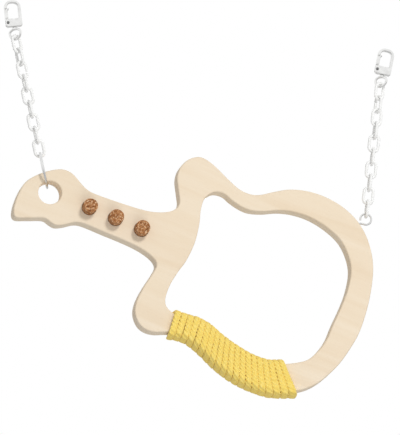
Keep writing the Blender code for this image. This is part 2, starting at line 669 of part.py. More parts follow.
def main():
    clear_scene()
    finish = {
        "wood": material("pale_wood", (0.80, 0.65, 0.46), 0.55),
        "cork": material("cork", (0.38, 0.17, 0.07), 0.9),
        "rope": material("yellow_cotton", (0.90, 0.58, 0.11), 0.9),
        "plastic": material("white_plastic", (0.85, 0.85, 0.84), 0.35),
        "chrome": material("nickel_plate", (0.72, 0.72, 0.72), 0.2, 1.0),
        "steel": material("steel_wire", (0.62, 0.62, 0.62), 0.3, 1.0),
    }

    left_seat = Vector((0, 0, 0))
    left_eye = left_seat - up_along(LEFT_HOOK_LEAN) * seat_to_eye()
    add_hook("left", LEFT_HOOK_LEAN, left_seat, finish)
    add_chain("left", LEFT_CHAIN_LEAN, left_eye, LEFT_LINK_TURNS, finish)

    chain_up = up_along(LEFT_CHAIN_LEAN)
    ring_bottom = left_eye - chain_up * ring_drop()
    half_split = math.degrees(RING_SPLIT / RING_RADIUS / 2)
    round_wire = [(x, 0, z) for x, z in arc((0, 0), RING_RADIUS, half_split, 360 - half_split, RING_STEPS)]
    ring_turned = turned(LEFT_CHAIN_LEAN, math.radians(RING_TURN))
    ring_place = Matrix.Translation(ring_bottom + chain_up * RING_RADIUS) @ ring_turned
    ring_wire = wire("head_ring", round_wire, RING_WIRE, False, 2)
    add_object("head_ring", ring_wire, finish["steel"], place=ring_place)

    board_turn = turned(BOARD_HANG_ANGLE)
    pivot = add_empty("board_pivot", Matrix.Translation(ring_bottom) @ board_turn)
    hole_centre = ring_bottom + chain_up * (ring_to_hole() - HEAD_HOLE_RADIUS)
    pivot_to_hole = board_turn.inverted() @ (hole_centre - ring_bottom)
    eye_in_board = add_board(pivot, pivot_to_hole, finish)

    right_up = up_along(RIGHT_CHAIN_LEAN)
    screw_eye = pivot.matrix_basis @ eye_in_board
    last_bottom = screw_eye + right_up * (SCREW_EYE_RADIUS - SCREW_EYE_WIRE - LINK_WIRE - PIVOT_PLAY)
    right_eye = last_bottom + right_up * chain_drop(len(RIGHT_LINK_TURNS))
    add_chain("right", RIGHT_CHAIN_LEAN, right_eye, RIGHT_LINK_TURNS, finish)
    right_seat = right_eye + up_along(RIGHT_HOOK_LEAN) * seat_to_eye()
    add_hook("right", RIGHT_HOOK_LEAN, right_seat, finish)


main()
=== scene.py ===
"""Looks of the hanging bird perch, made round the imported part.

Lengths are in metres and repeat the part's own sizes. The origin is the seat inside the top of the left
hook, the board's front looks towards -Y and +Z is up.
"""
import json
import math

import bmesh
import bpy
import numpy as np
from mathutils import Matrix, Quaternion, Vector, noise
from mathutils.geometry import tessellate_polygon

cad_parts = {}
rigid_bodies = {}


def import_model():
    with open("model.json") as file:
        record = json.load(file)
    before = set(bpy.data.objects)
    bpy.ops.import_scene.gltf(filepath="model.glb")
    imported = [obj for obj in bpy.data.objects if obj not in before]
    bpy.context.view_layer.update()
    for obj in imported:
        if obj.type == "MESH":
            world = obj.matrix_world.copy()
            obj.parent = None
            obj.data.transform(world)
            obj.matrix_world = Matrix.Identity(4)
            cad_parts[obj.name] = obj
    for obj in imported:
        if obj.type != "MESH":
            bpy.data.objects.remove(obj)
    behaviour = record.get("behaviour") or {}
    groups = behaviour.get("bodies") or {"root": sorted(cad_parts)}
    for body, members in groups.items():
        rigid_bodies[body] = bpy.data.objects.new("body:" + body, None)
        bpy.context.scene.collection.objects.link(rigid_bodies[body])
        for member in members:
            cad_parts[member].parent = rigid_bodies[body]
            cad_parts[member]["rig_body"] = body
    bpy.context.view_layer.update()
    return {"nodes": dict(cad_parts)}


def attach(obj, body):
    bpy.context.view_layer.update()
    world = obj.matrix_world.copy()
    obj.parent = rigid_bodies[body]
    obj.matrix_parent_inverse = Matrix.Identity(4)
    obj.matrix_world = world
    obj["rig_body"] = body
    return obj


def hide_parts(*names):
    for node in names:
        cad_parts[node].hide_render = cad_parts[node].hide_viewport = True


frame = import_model()

MM = 0.001
CLEARANCE = 0.3 * MM
PIVOT_PLAY = 0.6 * MM

# Edges at a larger angle than these, in degrees, are kept sharp in the shading or are rounded
SHARP_ANGLE = 38
SWEPT_SHARP_ANGLE = 45
ROUNDED_ANGLE = 50
ROUNDING_STEPS = 4

# Board
BOARD_THICKNESS = 15 * MM
BOARD_EDGE_ROUND = 2 * MM
BOARD_EDGE_SANDING = 1.3 * MM
BOARD_EDGE_WEAR = 0.2 * MM
BOARD_WEAR_SCALE = 45
BOARD_HANG_ANGLE = math.radians(21)
OUTLINE_STEP = 1.2 * MM
SPLINE_STEP = 0.04
EDGE_STEPS = 7
POCKET_SIDES = 48
HEAD_HOLE_SIDES = 72
HEAD_HOLE_RADIUS = 9.2 * MM

# Corks. The scales of pits and swells are in cycles per metre.
CORK_SIDES = 84
CORK_END_RINGS = 14
CORK_SIDE_RINGS = 40
CORK_PIT_SCALE = 780
CORK_PIT_START = 0.22
CORK_PIT_POWER = 0.7
CORK_PIT_DEPTH = 0.42 * MM
CORK_SWELL_SCALE = 260
CORK_SWELL_DEPTH = 0.10 * MM
CORK_SWELL_SHIFT = 0.4
CORK_NOISE_STEP = (7.3, 3.1, 5.7)
CORK_RADIUS = 5.8 * MM
CORK_CHAMFER = 0.6 * MM
CORK_PROUD = 9 * MM
CORK_POCKET_RADIUS = 6.1 * MM
CORK_POCKET_DEPTH = 8 * MM
CORK_PLACES = ((33.2, 0.9), (55.5, 0.9), (77.8, 0.9))

# Rope. Its strands drift, and close up on those of the next turn, at scales in cycles per metre.
# The solid's stations are its points in a turn. The grooves' painted shade fades where no gap is open.
ROPE_HALF_HEIGHT = 2 * MM
ROPE_END_HALF_WIDTH = 1.9 * MM
ROPE_TURNS = 20
ROPE_END_DEPTH = 5 * MM
ROPE_HOLE_OFFSET = 1.6 * MM
ROPE_HOLE_RADIUS = 2.2 * MM
ROPE_LAY = 9 * MM
ROPE_STRANDS = 3
ROPE_STATIONS = 150
ROPE_SOLID_STATIONS = 24
ROPE_START = 2 / 3
ROPE_SIDES = 32
ROPE_EASING = 25
ROPE_END_STEP = 0.7 * MM
RAIL_SAMPLES = 400
ROPE_GROOVE = 0.36
ROPE_CROWN_POWER = 0.8
ROPE_SIDE_POWER = 3
ROPE_DRIFT = 0.9
ROPE_DRIFT_SCALE = 60
ROPE_CLOSING = 0.8
ROPE_CLOSED_SHARE = 0.8
ROPE_CLOSED_SPREAD = 1.1
ROPE_CLOSED_SCALE = 70
# Share by which the grooves' painted shade is weaker where no gap to the next turn is open
ROPE_GROOVE_SHADE_FADE = 0.55
ROPE_WANDER = 0.45 * MM
ROPE_WANDERS_A_TURN = 4
ROPE_SQUARENESS = 0.55
ROPE_PRESS = 1.06

# Screw eye and headstock ring
WIRE_SIDES = 20
SCREW_EYE_RADIUS = 4.4 * MM
SCREW_EYE_WIRE = 0.8 * MM
SCREW_EYE_NECK = 3 * MM
SCREW_EYE_SHANK = 12 * MM
SCREW_EYE_TIP = 2.5 * MM
SCREW_EYE_POINT = 0.1 * MM
SCREW_EYE_BEND = 1.2 * MM
SCREW_EYE_STEP = 0.4 * MM
SCREW_EYE_PLACE = (236.8, 73.9)
RING_RADIUS = 14 * MM
RING_WIRE = 1 * MM
RING_SPLIT = 0.6 * MM
RING_STEPS = 150

# Chain links
LINK_SIDES = 24
LINK_STEP = 0.5 * MM
LINK_END_STEPS = 32
LINK_WIRE = 1.15 * MM
LINK_SEAM = 0.06 * MM
LINK_PITCH = 10.7 * MM
LINK_WIDTH = 9.6 * MM
LINK_LENGTH = LINK_PITCH + 2 * LINK_WIRE + CLEARANCE

# Swivel snap hooks
RIVET_SIDES = 24
POST_SIDES = 32
EYE_WIRE_SIDES = 18
EYE_STEPS = 36
HOOK_CORNER_STEPS = 16
HEEL_STEPS = 20
HOOK_HALF_WIDTH = 6.6 * MM
HOOK_BAR = 2.3 * MM
HOOK_DEPTH = 4.4 * MM
HOOK_CORNER = 5.6 * MM
HOOK_THROAT = 12.4 * MM
HOOK_BASE_HEIGHT = 6.8 * MM
HOOK_BASE_CHAMFER = 1.2 * MM
HOOK_NOSE = 4.6 * MM
HOOK_EDGE_ROUND = 0.85 * MM
GATE_TONGUE_WIDTH = 1.6 * MM
GATE_HEEL_RADIUS = 1.4 * MM
GATE_END_GAP = 0.6 * MM
GATE_LIP = 0.9 * MM
GATE_LIP_REACH = 0.7 * MM
GATE_EDGE_ROUND = 0.25 * MM
GATE_OPENING = math.radians(25)
RIVET_RADIUS = 0.8 * MM
RIVET_HEAD_RADIUS = 1.2 * MM
RIVET_HEAD_HEIGHT = 0.4 * MM
RIVET_INSET = 1.6 * MM
RIVET_DROP = 3.2 * MM
SPRING_THICKNESS = 0.35 * MM
SPRING_BOW = 0.25 * MM
POST_RADIUS = 1 * MM
POST_HEAD_RADIUS = 1.8 * MM
POST_HEAD_HEIGHT = 1.3 * MM
POST_FLOOR = 2.2 * MM
COLLAR_RADIUS = 1.9 * MM
COLLAR_HEIGHT = 1.9 * MM
COLLAR_ROUND = 0.35 * MM
EYE_WIRE = 1 * MM
EYE_HALF_WIDTH = 5.2 * MM
EYE_SHOULDER = 2.9 * MM
SEAT_TO_EYE = (HOOK_THROAT + HOOK_BASE_HEIGHT + CLEARANCE + COLLAR_HEIGHT - EYE_WIRE / 2 + EYE_SHOULDER
               + EYE_HALF_WIDTH)

# How the two chains hang
LEFT_HOOK_LEAN = math.radians(-7.1)
LEFT_CHAIN_LEAN = math.radians(-12.2)
LEFT_LINK_TURNS = (29, 114, 15, 95, 0, 90, 0, 90, 0)
RIGHT_HOOK_LEAN = math.radians(10.7)
RIGHT_CHAIN_LEAN = math.radians(6.2)
RIGHT_LINK_TURNS = (29, 114, 15, 95, 0, 90, 0, 90, 0, 90)
SWIVEL_EYE_TURN = math.radians(-45)
RING_TURN = math.radians(80)

# Board outline in millimetres from the headstock hole, along the neck and across it
RAIL = (
    ((127, -52), (127, -67.5)),
    ((136, -51.5), (136, -65)),
    ((146, -50.5), (146, -65)),
    ((157, -52), (158, -69)),
    ((169, -56), (172, -75)),
    ((182, -59), (187, -79)),
    ((196, -61), (203, -80.5)),
    ((210, -60), (220, -79)),
    ((222, -55), (237, -72.5)),
)
OUTER_TOP = (
    (-18, -29), (-22, -23), (-22.8, -9.7), (-20.2, 1.8), (-11, 12.9), (-0.2, 20.4), (7, 22), (13.2, 20.5),
    (22, 15.8), (29, 13.5), (38, 13.4), (56, 14.5), (74, 16.3), (84, 18.7), (92, 22.4), (97, 27), (98, 33),
    (94, 41), (89, 51), (88.5, 60), (92, 68), (98, 73), (104, 74), (114, 71.5), (127, 66), (138, 62),
    (147, 61.5), (155, 64), (165, 71), (176, 77.7), (190, 82), (205, 83.1), (221.3, 80.7), SCREW_EYE_PLACE,
    (250, 61.8), (260.2, 44.5), (266.3, 20.2), (268.4, -5), (266.4, -22.3), (261.2, -41.5), (250.8, -60.8),
)
OUTER_LEFT = (
    (118, -71.5), (110, -72.5), (103, -70), (97, -63), (95, -54), (96, -42), (99, -27), (99, -20.5),
    (94, -16.5), (84, -13.8), (70, -12.7), (50, -12.7), (34, -12.7), (27, -14.5), (20, -19.5), (14, -22.5),
    (9, -22), (3, -21), (-8, -25.5),
)
WINDOW_REST = (
    (232, -49.5), (238.5, -44), (243, -35), (246, -24), (246.5, -10), (247.5, 6), (247.3, 20), (244.5, 35),
    (238, 46), (228, 55), (215, 60.2), (200, 62.8), (186, 61.9), (174, 58.4), (163, 52.8), (153, 49.4),
    (145, 49.2), (136, 51), (129, 53.3), (122, 52.4), (117.8, 48.7), (115.3, 43), (116, 34), (119, 23),
    (121, 8), (120, -8), (117, -20), (115, -32), (115.5, -43), (119, -49),
)

# Camera and stage. A lamp has a name, a place, a diameter in metres and a power in watts.
CAMERA_AZIMUTH = math.radians(-9.5)
CAMERA_ELEVATION = math.radians(-11.5)
CAMERA_DISTANCE = 6.0
CAMERA_TARGET = (0.1514, 0, -0.1674)
CAMERA_ROLL = math.radians(0.1)
SENSOR_SIZE = 36
VIEW_HEIGHT = 343.6 * MM
FLOOR_HEIGHT = -4
FLOOR_SIZE = 40
FLOOR_GLOW = 0.3
SURROUNDING_LIGHT = 0.5
LAMPS = (
    ("key", (0.65, -1.95, 0.85), 0.5, 22),
    ("fill", (0.4, -1.3, -1.5), 1.4, 8),
    ("back", (0.8, 2.0, 0.5), 1.0, 27),
)


def node(tree, kind, inputs=None, **settings):
    """Adds a shader node. An input given as a socket is linked, and any other value is set."""
    made = tree.nodes.new(kind)
    for name, value in settings.items():
        setattr(made, name, value)
    for name, value in (inputs or {}).items():
        if isinstance(value, bpy.types.NodeSocket):
            tree.links.new(value, made.inputs[name])
        else:
            made.inputs[name].default_value = value
    return made


def new_material(name, **constants):
    """Material with a Principled shader, and the inputs that are the same all over the surface."""
    made = bpy.data.materials.new(name)
    made.use_nodes = True
    tree = made.node_tree
    shader = tree.nodes["Principled BSDF"]
    for socket, value in constants.items():
        shader.inputs[socket.replace("_", " ")].default_value = value
    return made, tree, shader


def surface_place(tree, scale=(1, 1, 1), turn=0.0):
    """Place on the object, seen from axes turned about Y, times a scale along each of them."""
    coords = node(tree, "ShaderNodeTexCoord").outputs["Object"]
    made = node(tree, "ShaderNodeMapping", vector_type="TEXTURE")
    tree.links.new(coords, made.inputs["Vector"])
    made.inputs["Rotation"].default_value = (0, turn, 0)
    made.inputs["Scale"].default_value = [1 / s for s in scale]
    return made.outputs["Vector"]


def noise_of(tree, scale, detail=3.0, roughness=0.55, distortion=0.0, turn=0.0):
    """Noise with its own scale along each axis, in cycles per metre."""
    place = surface_place(tree, scale, turn)
    made = node(tree, "ShaderNodeTexNoise", {"Vector": place, "Scale": 1.0, "Detail": detail,
                                             "Roughness": roughness, "Distortion": distortion})
    return made.outputs["Fac"]


def ramp(tree, value, stops):
    """Colour ramp from (position, colour) stops. A number stands for a grey."""
    made = node(tree, "ShaderNodeValToRGB", {"Fac": value})
    bar = made.color_ramp.elements
    while len(bar) < len(stops):
        bar.new(0.5)
    for stop, (position, colour) in zip(bar, stops):
        stop.position = position
        stop.color = (*colour, 1) if hasattr(colour, "__len__") else (colour, colour, colour, 1)
    return made.outputs["Color"]


def blend(tree, share, first, second):
    """The first colour, with a share of the second."""
    made = node(tree, "ShaderNodeMix", data_type="RGBA")
    for socket, value in ((made.inputs[0], share), (made.inputs[6], first), (made.inputs[7], second)):
        if isinstance(value, bpy.types.NodeSocket):
            tree.links.new(value, socket)
        elif hasattr(value, "__len__"):
            socket.default_value = (*value, 1)
        else:
            socket.default_value = value
    return made.outputs[2]


def spread(tree, value, low, high):
    """Maps a value from 0 to 1 onto low to high."""
    made = node(tree, "ShaderNodeMapRange", {"Value": value, "To Min": low, "To Max": high})
    return made.outputs["Result"]


def bump(tree, shader, height, depth, strength):
    """Fine relief of this depth in metres."""
    made = node(tree, "ShaderNodeBump", {"Height": height, "Strength": strength, "Distance": depth})
    tree.links.new(made.outputs["Normal"], shader.inputs["Normal"])


def wood_material():
    """Pale close-grained wood, with its grain along the neck."""
    made, tree, shader = new_material("pale_wood", Specular_IOR_Level=0.35)
    neck = up_along(BOARD_HANG_ANGLE + math.pi / 2)
    figure = noise_of(tree, (7, 40, 95), 3, 0.5, 0.7, BOARD_HANG_ANGLE)
    fibre = noise_of(tree, (70, 1300, 1700), 4, 0.6, 0.0, BOARD_HANG_ANGLE)
    pores = noise_of(tree, (260, 3600, 3600), 2, 0.5, 0.0, BOARD_HANG_ANGLE)
    colour = ramp(tree, figure, ((0.3, (0.852, 0.708, 0.529)), (0.5, (0.882, 0.750, 0.577)),
                                 (0.7, (0.904, 0.783, 0.619))))
    colour = blend(tree, spread(tree, fibre, 0.0, 0.24), colour, (0.79, 0.625, 0.435))
    colour = blend(tree, ramp(tree, pores, ((0.64, 0.0), (0.74, 0.4))), colour, (0.62, 0.44, 0.26))
    outwards = node(tree, "ShaderNodeTexCoord").outputs["Normal"]
    facing = node(tree, "ShaderNodeVectorMath", {0: outwards, 1: neck}, operation="DOT_PRODUCT")
    end_grain = node(tree, "ShaderNodeMath", {0: facing.outputs["Value"]}, operation="ABSOLUTE").outputs[0]
    rings = noise_of(tree, (300, 900, 900), 3, 0.6)
    end_tone = ramp(tree, rings, ((0.35, (0.76, 0.60, 0.42)), (0.65, (0.86, 0.72, 0.54))))
    colour = blend(tree, ramp(tree, end_grain, ((0.55, 0.0), (0.95, 0.75))), colour, end_tone)
    tree.links.new(colour, shader.inputs["Base Color"])
    tree.links.new(spread(tree, fibre, 0.42, 0.68), shader.inputs["Roughness"])
    bump(tree, shader, fibre, 0.12 * MM, 0.5)
    return made


def cork_material():
    """Pressed cork: granules of several browns with dark seams and pale and dark specks."""
    made, tree, shader = new_material("cork", Roughness=0.88, Specular_IOR_Level=0.2)
    place = surface_place(tree)
    grains = node(tree, "ShaderNodeTexVoronoi", {"Vector": place, "Scale": 1150.0, "Randomness": 1.0})
    seams = node(tree, "ShaderNodeTexVoronoi", {"Vector": place, "Scale": 1150.0, "Randomness": 1.0},
                 feature="DISTANCE_TO_EDGE")
    tone = node(tree, "ShaderNodeSeparateColor", {"Color": grains.outputs["Color"]}).outputs["Red"]
    colour = ramp(tree, tone, ((0.05, (0.190, 0.065, 0.022)), (0.35, (0.450, 0.195, 0.072)),
                               (0.68, (0.610, 0.300, 0.130)), (0.95, (0.880, 0.600, 0.370))))
    cloud = noise_of(tree, (420, 420, 420), 4, 0.65)
    colour = blend(tree, spread(tree, cloud, 0.0, 0.3), colour, (0.400, 0.165, 0.060))
    specks = noise_of(tree, (1500, 1500, 1500), 2, 0.5)
    colour = blend(tree, ramp(tree, specks, ((0.60, 0.0), (0.70, 0.85))), colour, (0.115, 0.045, 0.018))
    seam = ramp(tree, seams.outputs["Distance"], ((0.0, 0.7), (0.09, 0.0)))
    colour = blend(tree, seam, colour, (0.190, 0.075, 0.028))
    tree.links.new(colour, shader.inputs["Base Color"])
    bump(tree, shader, blend(tree, 0.5, seams.outputs["Distance"], cloud), 0.35 * MM, 0.8)
    return made


def rope_material():
    """Yellow cotton: yarns run along the rope, and the grooves between its strands are darkened with
    painted shade.
    """
    made, tree, shader = new_material("yellow_cotton", Roughness=0.92, Specular_IOR_Level=0.15,
                                      Sheen_Weight=0.25, Sheen_Roughness=0.5)
    painted_groove_shade = node(tree, "ShaderNodeAttribute", attribute_name="painted_groove_shade").outputs["Fac"]
    lay = node(tree, "ShaderNodeUVMap", uv_map="lay").outputs["UV"]
    along_yarns = node(tree, "ShaderNodeMapping", {"Vector": lay, "Scale": (26, 420, 1)})
    yarn = node(tree, "ShaderNodeTexNoise", {"Vector": along_yarns.outputs["Vector"], "Scale": 1.0,
                                             "Detail": 3.0, "Roughness": 0.6}, noise_dimensions="2D")
    yarn = yarn.outputs["Fac"]
    cloud = noise_of(tree, (130, 130, 130), 3, 0.6)
    colour = ramp(tree, yarn, ((0.3, (0.92, 0.65, 0.125)), (0.52, (0.975, 0.755, 0.190)),
                               (0.75, (0.98, 0.800, 0.290))))
    colour = blend(tree, spread(tree, cloud, 0.0, 0.4), colour, (0.94, 0.68, 0.135))
    # Painted shade: the grooves are darkened towards this brown by the share set on the rope's mesh
    colour = blend(tree, ramp(tree, painted_groove_shade, ((0.5, 0.0), (0.8, 0.12), (1.0, 0.4))), colour,
                   (0.60, 0.38, 0.055))
    tree.links.new(colour, shader.inputs["Base Color"])
    bump(tree, shader, yarn, 0.3 * MM, 0.8)
    return made


def plastic_material():
    """Moulded white plastic with a soft gloss."""
    made, tree, shader = new_material("white_plastic", Specular_IOR_Level=0.5, Coat_Weight=0.05,
                                      Subsurface_Weight=0.5, Subsurface_Radius=(1, 1, 1),
                                      Subsurface_Scale=1.5 * MM)
    cloud = noise_of(tree, (240, 240, 240), 3, 0.5)
    colour = ramp(tree, cloud, ((0.3, (0.895, 0.895, 0.880)), (0.7, (0.930, 0.930, 0.920))))
    tree.links.new(colour, shader.inputs["Base Color"])
    tree.links.new(spread(tree, cloud, 0.24, 0.42), shader.inputs["Roughness"])
    bump(tree, shader, noise_of(tree, (900, 900, 900), 2), 0.05 * MM, 0.4)
    return made


def metal_material(name, dark, light, smooth, rough, grain, depth):
    """Metal with uneven polish. Grain is the fineness of its marks along each axis."""
    made, tree, shader = new_material(name, Metallic=1.0)
    cloud = noise_of(tree, (310, 310, 310), 4, 0.6)
    marks = noise_of(tree, grain, 3, 0.6)
    tree.links.new(ramp(tree, cloud, ((0.3, dark), (0.7, light))), shader.inputs["Base Color"])
    tree.links.new(spread(tree, marks, smooth, rough), shader.inputs["Roughness"])
    bump(tree, shader, marks, depth, 0.5)
    return made


def finished(name, verts, faces, sharp_angle=None):
    """Closed mesh with its faces outwards and smooth shading."""
    mesh = bpy.data.meshes.new(name)
    mesh.from_pydata([tuple(v) for v in verts], [], faces)
    work = bmesh.new()
    work.from_mesh(mesh)
    bmesh.ops.recalc_face_normals(work, faces=work.faces)
    work.to_mesh(mesh)
    work.free()
    mesh.shade_smooth()
    if sharp_angle is not None:
        mesh.set_sharp_from_angle(angle=math.radians(sharp_angle))
    return mesh


def add_piece(name, shape, finish, place, cad_node):
    """A piece in the row frame that stands for a CAD node and rides on its body."""
    mesh = shape.copy()
    mesh.transform(place)
    mesh.materials.clear()
    mesh.materials.append(finish)
    piece = bpy.data.objects.new(name, mesh)
    bpy.context.scene.collection.objects.link(piece)
    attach(piece, frame["nodes"][cad_node]["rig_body"])
    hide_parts(cad_node)
    return piece


def even_shading(piece):
    step = piece.modifiers.new("even_shading", "WEIGHTED_NORMAL")
    step.keep_sharp = True


def carved(name, mesh, changes, rounding=None):
    """Mesh with rounded edges, then cut or joined by (mesh, place, operation) changes."""
    def temporary(data, place=Matrix()):
        made = bpy.data.objects.new(name, data)
        bpy.context.scene.collection.objects.link(made)
        made.matrix_world = place
        return made

    base = temporary(mesh)
    if rounding:
        step = base.modifiers.new("rounding", "BEVEL")
        step.width = rounding
        step.segments = ROUNDING_STEPS
        step.limit_method = "ANGLE"
        step.angle_limit = math.radians(ROUNDED_ANGLE)
    tools = []
    for tool_mesh, place, operation in changes:
        tools.append(temporary(tool_mesh, place))
        step = base.modifiers.new(operation, "BOOLEAN")
        step.operation = operation
        step.solver = "EXACT"
        step.object = tools[-1]
    bpy.context.view_layer.update()
    made = bpy.data.meshes.new_from_object(base.evaluated_get(bpy.context.evaluated_depsgraph_get()))
    for used in (base, *tools):
        bpy.data.objects.remove(used)
    made.name = name
    made.shade_smooth()
    made.set_sharp_from_angle(angle=math.radians(SHARP_ANGLE))
    return made


def circle(radius, sides):
    angles = 2 * math.pi * np.arange(sides) / sides
    return radius * np.column_stack((np.cos(angles), np.sin(angles)))


def tube(name, path, normals, section, closed, sharp_angle=None, across=None):
    """Tube along a path. A section point is (along the normal, across it), for all stations or for each.

    Across is square to the path unless a vector is given for each station.
    """
    path = np.asarray(path, float)
    count = len(path)
    if closed:
        tangents = np.roll(path, -1, axis=0) - np.roll(path, 1, axis=0)
    else:
        tangents = np.gradient(path, axis=0)
    tangents /= np.linalg.norm(tangents, axis=1)[:, None]
    normals = np.broadcast_to(normals, path.shape)
    normals = normals - (normals * tangents).sum(axis=1)[:, None] * tangents
    normals /= np.linalg.norm(normals, axis=1)[:, None]
    if across is None:
        across = np.cross(tangents, normals)
    section = np.broadcast_to(section, (count, *np.shape(section)[-2:]))
    rings = path[:, None] + section[..., :1] * normals[:, None] + section[..., 1:] * across[:, None]
    sides = rings.shape[1]
    faces = []
    for a in range(count if closed else count - 1):
        b = (a + 1) % count
        for k in range(sides):
            n = (k + 1) % sides
            faces.append((a * sides + k, a * sides + n, b * sides + n, b * sides + k))
    if not closed:
        faces.append(tuple(range(sides)))
        faces.append(tuple(range((count - 1) * sides, count * sides)))
    return finished(name, rings.reshape(-1, 3), faces, sharp_angle)


def lathe(name, profile, sides):
    """Turned solid about Z from (radius, height) points that start and end on the axis."""
    verts = [(0, 0, profile[0][1])]
    for radius, height in profile[1:-1]:
        verts += [(x, y, height) for x, y in circle(radius, sides)]
    verts.append((0, 0, profile[-1][1]))
    rings = len(profile) - 2
    faces = []
    for k in range(sides):
        n = (k + 1) % sides
        faces.append((0, 1 + k, 1 + n))
        for a in range(1, 1 + (rings - 1) * sides, sides):
            faces.append((a + k, a + n, a + sides + n, a + sides + k))
        a = 1 + (rings - 1) * sides
        faces.append((a + k, a + n, len(verts) - 1))
    return finished(name, verts, faces, SHARP_ANGLE)


def prism(name, outline, depth):
    """Flat outline in XZ, extruded along Y about y = 0."""
    count = len(outline)
    verts = [(x, y, z) for y in (-depth / 2, depth / 2) for x, z in outline]
    faces = [tuple(range(count)), tuple(range(count, 2 * count))]
    faces += [(k, (k + 1) % count, count + (k + 1) % count, count + k) for k in range(count)]
    return finished(name, verts, faces, SHARP_ANGLE)


def arc(centre, radius, start, end, steps):
    """Points of an arc in XZ, angles in degrees, both ends included."""
    angles = np.radians(np.linspace(start, end, steps + 1))
    return [(centre[0] + radius * math.cos(a), centre[1] + radius * math.sin(a)) for a in angles]


def in_plane(points):
    return [(x, 0, z) for x, z in points]


def turned(lean, turn=0.0):
    """Rotation for a piece that leans towards +X by lean and is turned about its own length."""
    return Matrix.Rotation(lean, 4, "Y") @ Matrix.Rotation(turn, 4, "Z")


def up_along(lean):
    return Vector((math.sin(lean), 0, math.cos(lean)))


def spline_point(p0, p1, p2, p3, t):
    """Catmull-Rom curve between p1 and p2."""
    return 0.5 * (2 * p1 + (p2 - p0) * t + (2 * p0 - 5 * p1 + 4 * p2 - p3) * t**2
                  + (3 * p1 - p0 - 3 * p2 + p3) * t**3)


def evenly(points, step, closed):
    """The same line with points at even steps."""
    points = np.asarray(points)
    if closed:
        points = np.concatenate((points, points[:1]))
    run = np.concatenate(((0,), np.cumsum(np.linalg.norm(np.diff(points, axis=0), axis=1))))
    at = np.linspace(0, run[-1], max(4, round(run[-1] / step)) + 1)
    made = np.column_stack([np.interp(at, run, column) for column in points.T])
    return made[:-1] if closed else made


def smooth_loop(points):
    """Closed smooth curve through points in millimetres, in steps of about OUTLINE_STEP."""
    given = np.array(points) * MM
    count = len(given)
    fine = []
    for k in range(count):
        p0, p1, p2, p3 = (given[(k + step) % count] for step in (-1, 0, 1, 2))
        fine += [spline_point(p0, p1, p2, p3, t) for t in np.arange(0, 1, SPLINE_STEP)]
    return evenly(fine, OUTLINE_STEP, True)


def into_wood(loop, distances, wood_inside):
    """The loop moved along its normals, inwards on the outer edge and outwards round a hole."""
    tangent = np.roll(loop, -1, axis=0) - np.roll(loop, 1, axis=0)
    tangent /= np.linalg.norm(tangent, axis=1)[:, None]
    normal = np.column_stack((-tangent[:, 1], tangent[:, 0]))
    following = np.roll(loop, -1, axis=0)
    area = np.sum(loop[:, 0] * following[:, 1] - loop[:, 1] * following[:, 0])
    inward = normal if (area > 0) == wood_inside else -normal
    return loop + inward * np.reshape(distances, (-1, 1))


def edge_rings(loop, wood_inside):
    """Rings of points over the edge from the front face to the back, with an uneven, sanded rounding."""
    half = BOARD_THICKNESS / 2
    rings = []
    for face in (-1, 1):
        wear = np.array([noise.noise((x * BOARD_WEAR_SCALE, face * 3, z * BOARD_WEAR_SCALE))
                         for x, z in loop])
        radius = BOARD_EDGE_SANDING + BOARD_EDGE_WEAR * wear
        steps = range(EDGE_STEPS + 1) if face < 0 else range(EDGE_STEPS, -1, -1)
        for step in steps:
            a = math.pi / 2 * step / EDGE_STEPS
            flat = into_wood(loop, radius * (1 - math.sin(a)), wood_inside)
            depth = face * (half - radius * (1 - math.cos(a)))
            rings.append(np.column_stack((flat[:, 0], depth, flat[:, 1])))
    return rings


def board_mesh(rope_holes):
    """Board in its own frame: X along the neck, Z across it, front at -Y."""
    outer = OUTER_TOP + tuple(pair[1] for pair in reversed(RAIL)) + OUTER_LEFT
    window = tuple(pair[0] for pair in RAIL) + WINDOW_REST
    head_hole = np.array(arc((0, 0), HEAD_HOLE_RADIUS, 0, 360, HEAD_HOLE_SIDES)[:-1])
    verts = []
    faces = []
    flats = {-1: [], 1: []}

    def add_rings(rings):
        """Joins rings of points in a row and gives each one's first index."""
        starts = []
        for ring in rings:
            starts.append(len(verts))
            verts.extend(ring)
        count = len(rings[0])
        for a, b in zip(starts, starts[1:]):
            faces.extend((a + k, a + (k + 1) % count, b + (k + 1) % count, b + k) for k in range(count))
        return starts, count

    edges = ((smooth_loop(outer), True), (smooth_loop(window), False), (head_hole, False))
    for loop, wood_inside in edges:
        starts, count = add_rings(edge_rings(loop, wood_inside))
        flats[-1].append(range(starts[0], starts[0] + count))
        flats[1].append(range(starts[-1], starts[-1] + count))
    half = BOARD_THICKNESS / 2
    pockets = [(-1, (along * MM, across * MM), CORK_POCKET_RADIUS, CORK_POCKET_DEPTH)
               for along, across in CORK_PLACES]
    pockets += [(1, (hole[0], hole[2]), ROPE_HOLE_RADIUS, ROPE_END_DEPTH + CLEARANCE)
                for hole in rope_holes]
    for face, (along, across), radius, depth in pockets:
        round_loop = circle(radius, POCKET_SIDES) + (along, across)
        rings = [np.column_stack((round_loop[:, 0], np.full(POCKET_SIDES, face * y), round_loop[:, 1]))
                 for y in (half, half - depth)]
        starts, count = add_rings(rings)
        flats[face].append(range(starts[0], starts[0] + count))
        faces.append(tuple(range(starts[1], starts[1] + count)))
    for side in flats.values():
        order = [k for ring in side for k in ring]
        flat = [[Vector((verts[k][0], verts[k][2], 0)) for k in ring] for ring in side]
        faces += [tuple(order[k] for k in triangle) for triangle in tessellate_polygon(flat)]
    return finished("guitar_board_wood", verts, faces, SWEPT_SHARP_ANGLE)


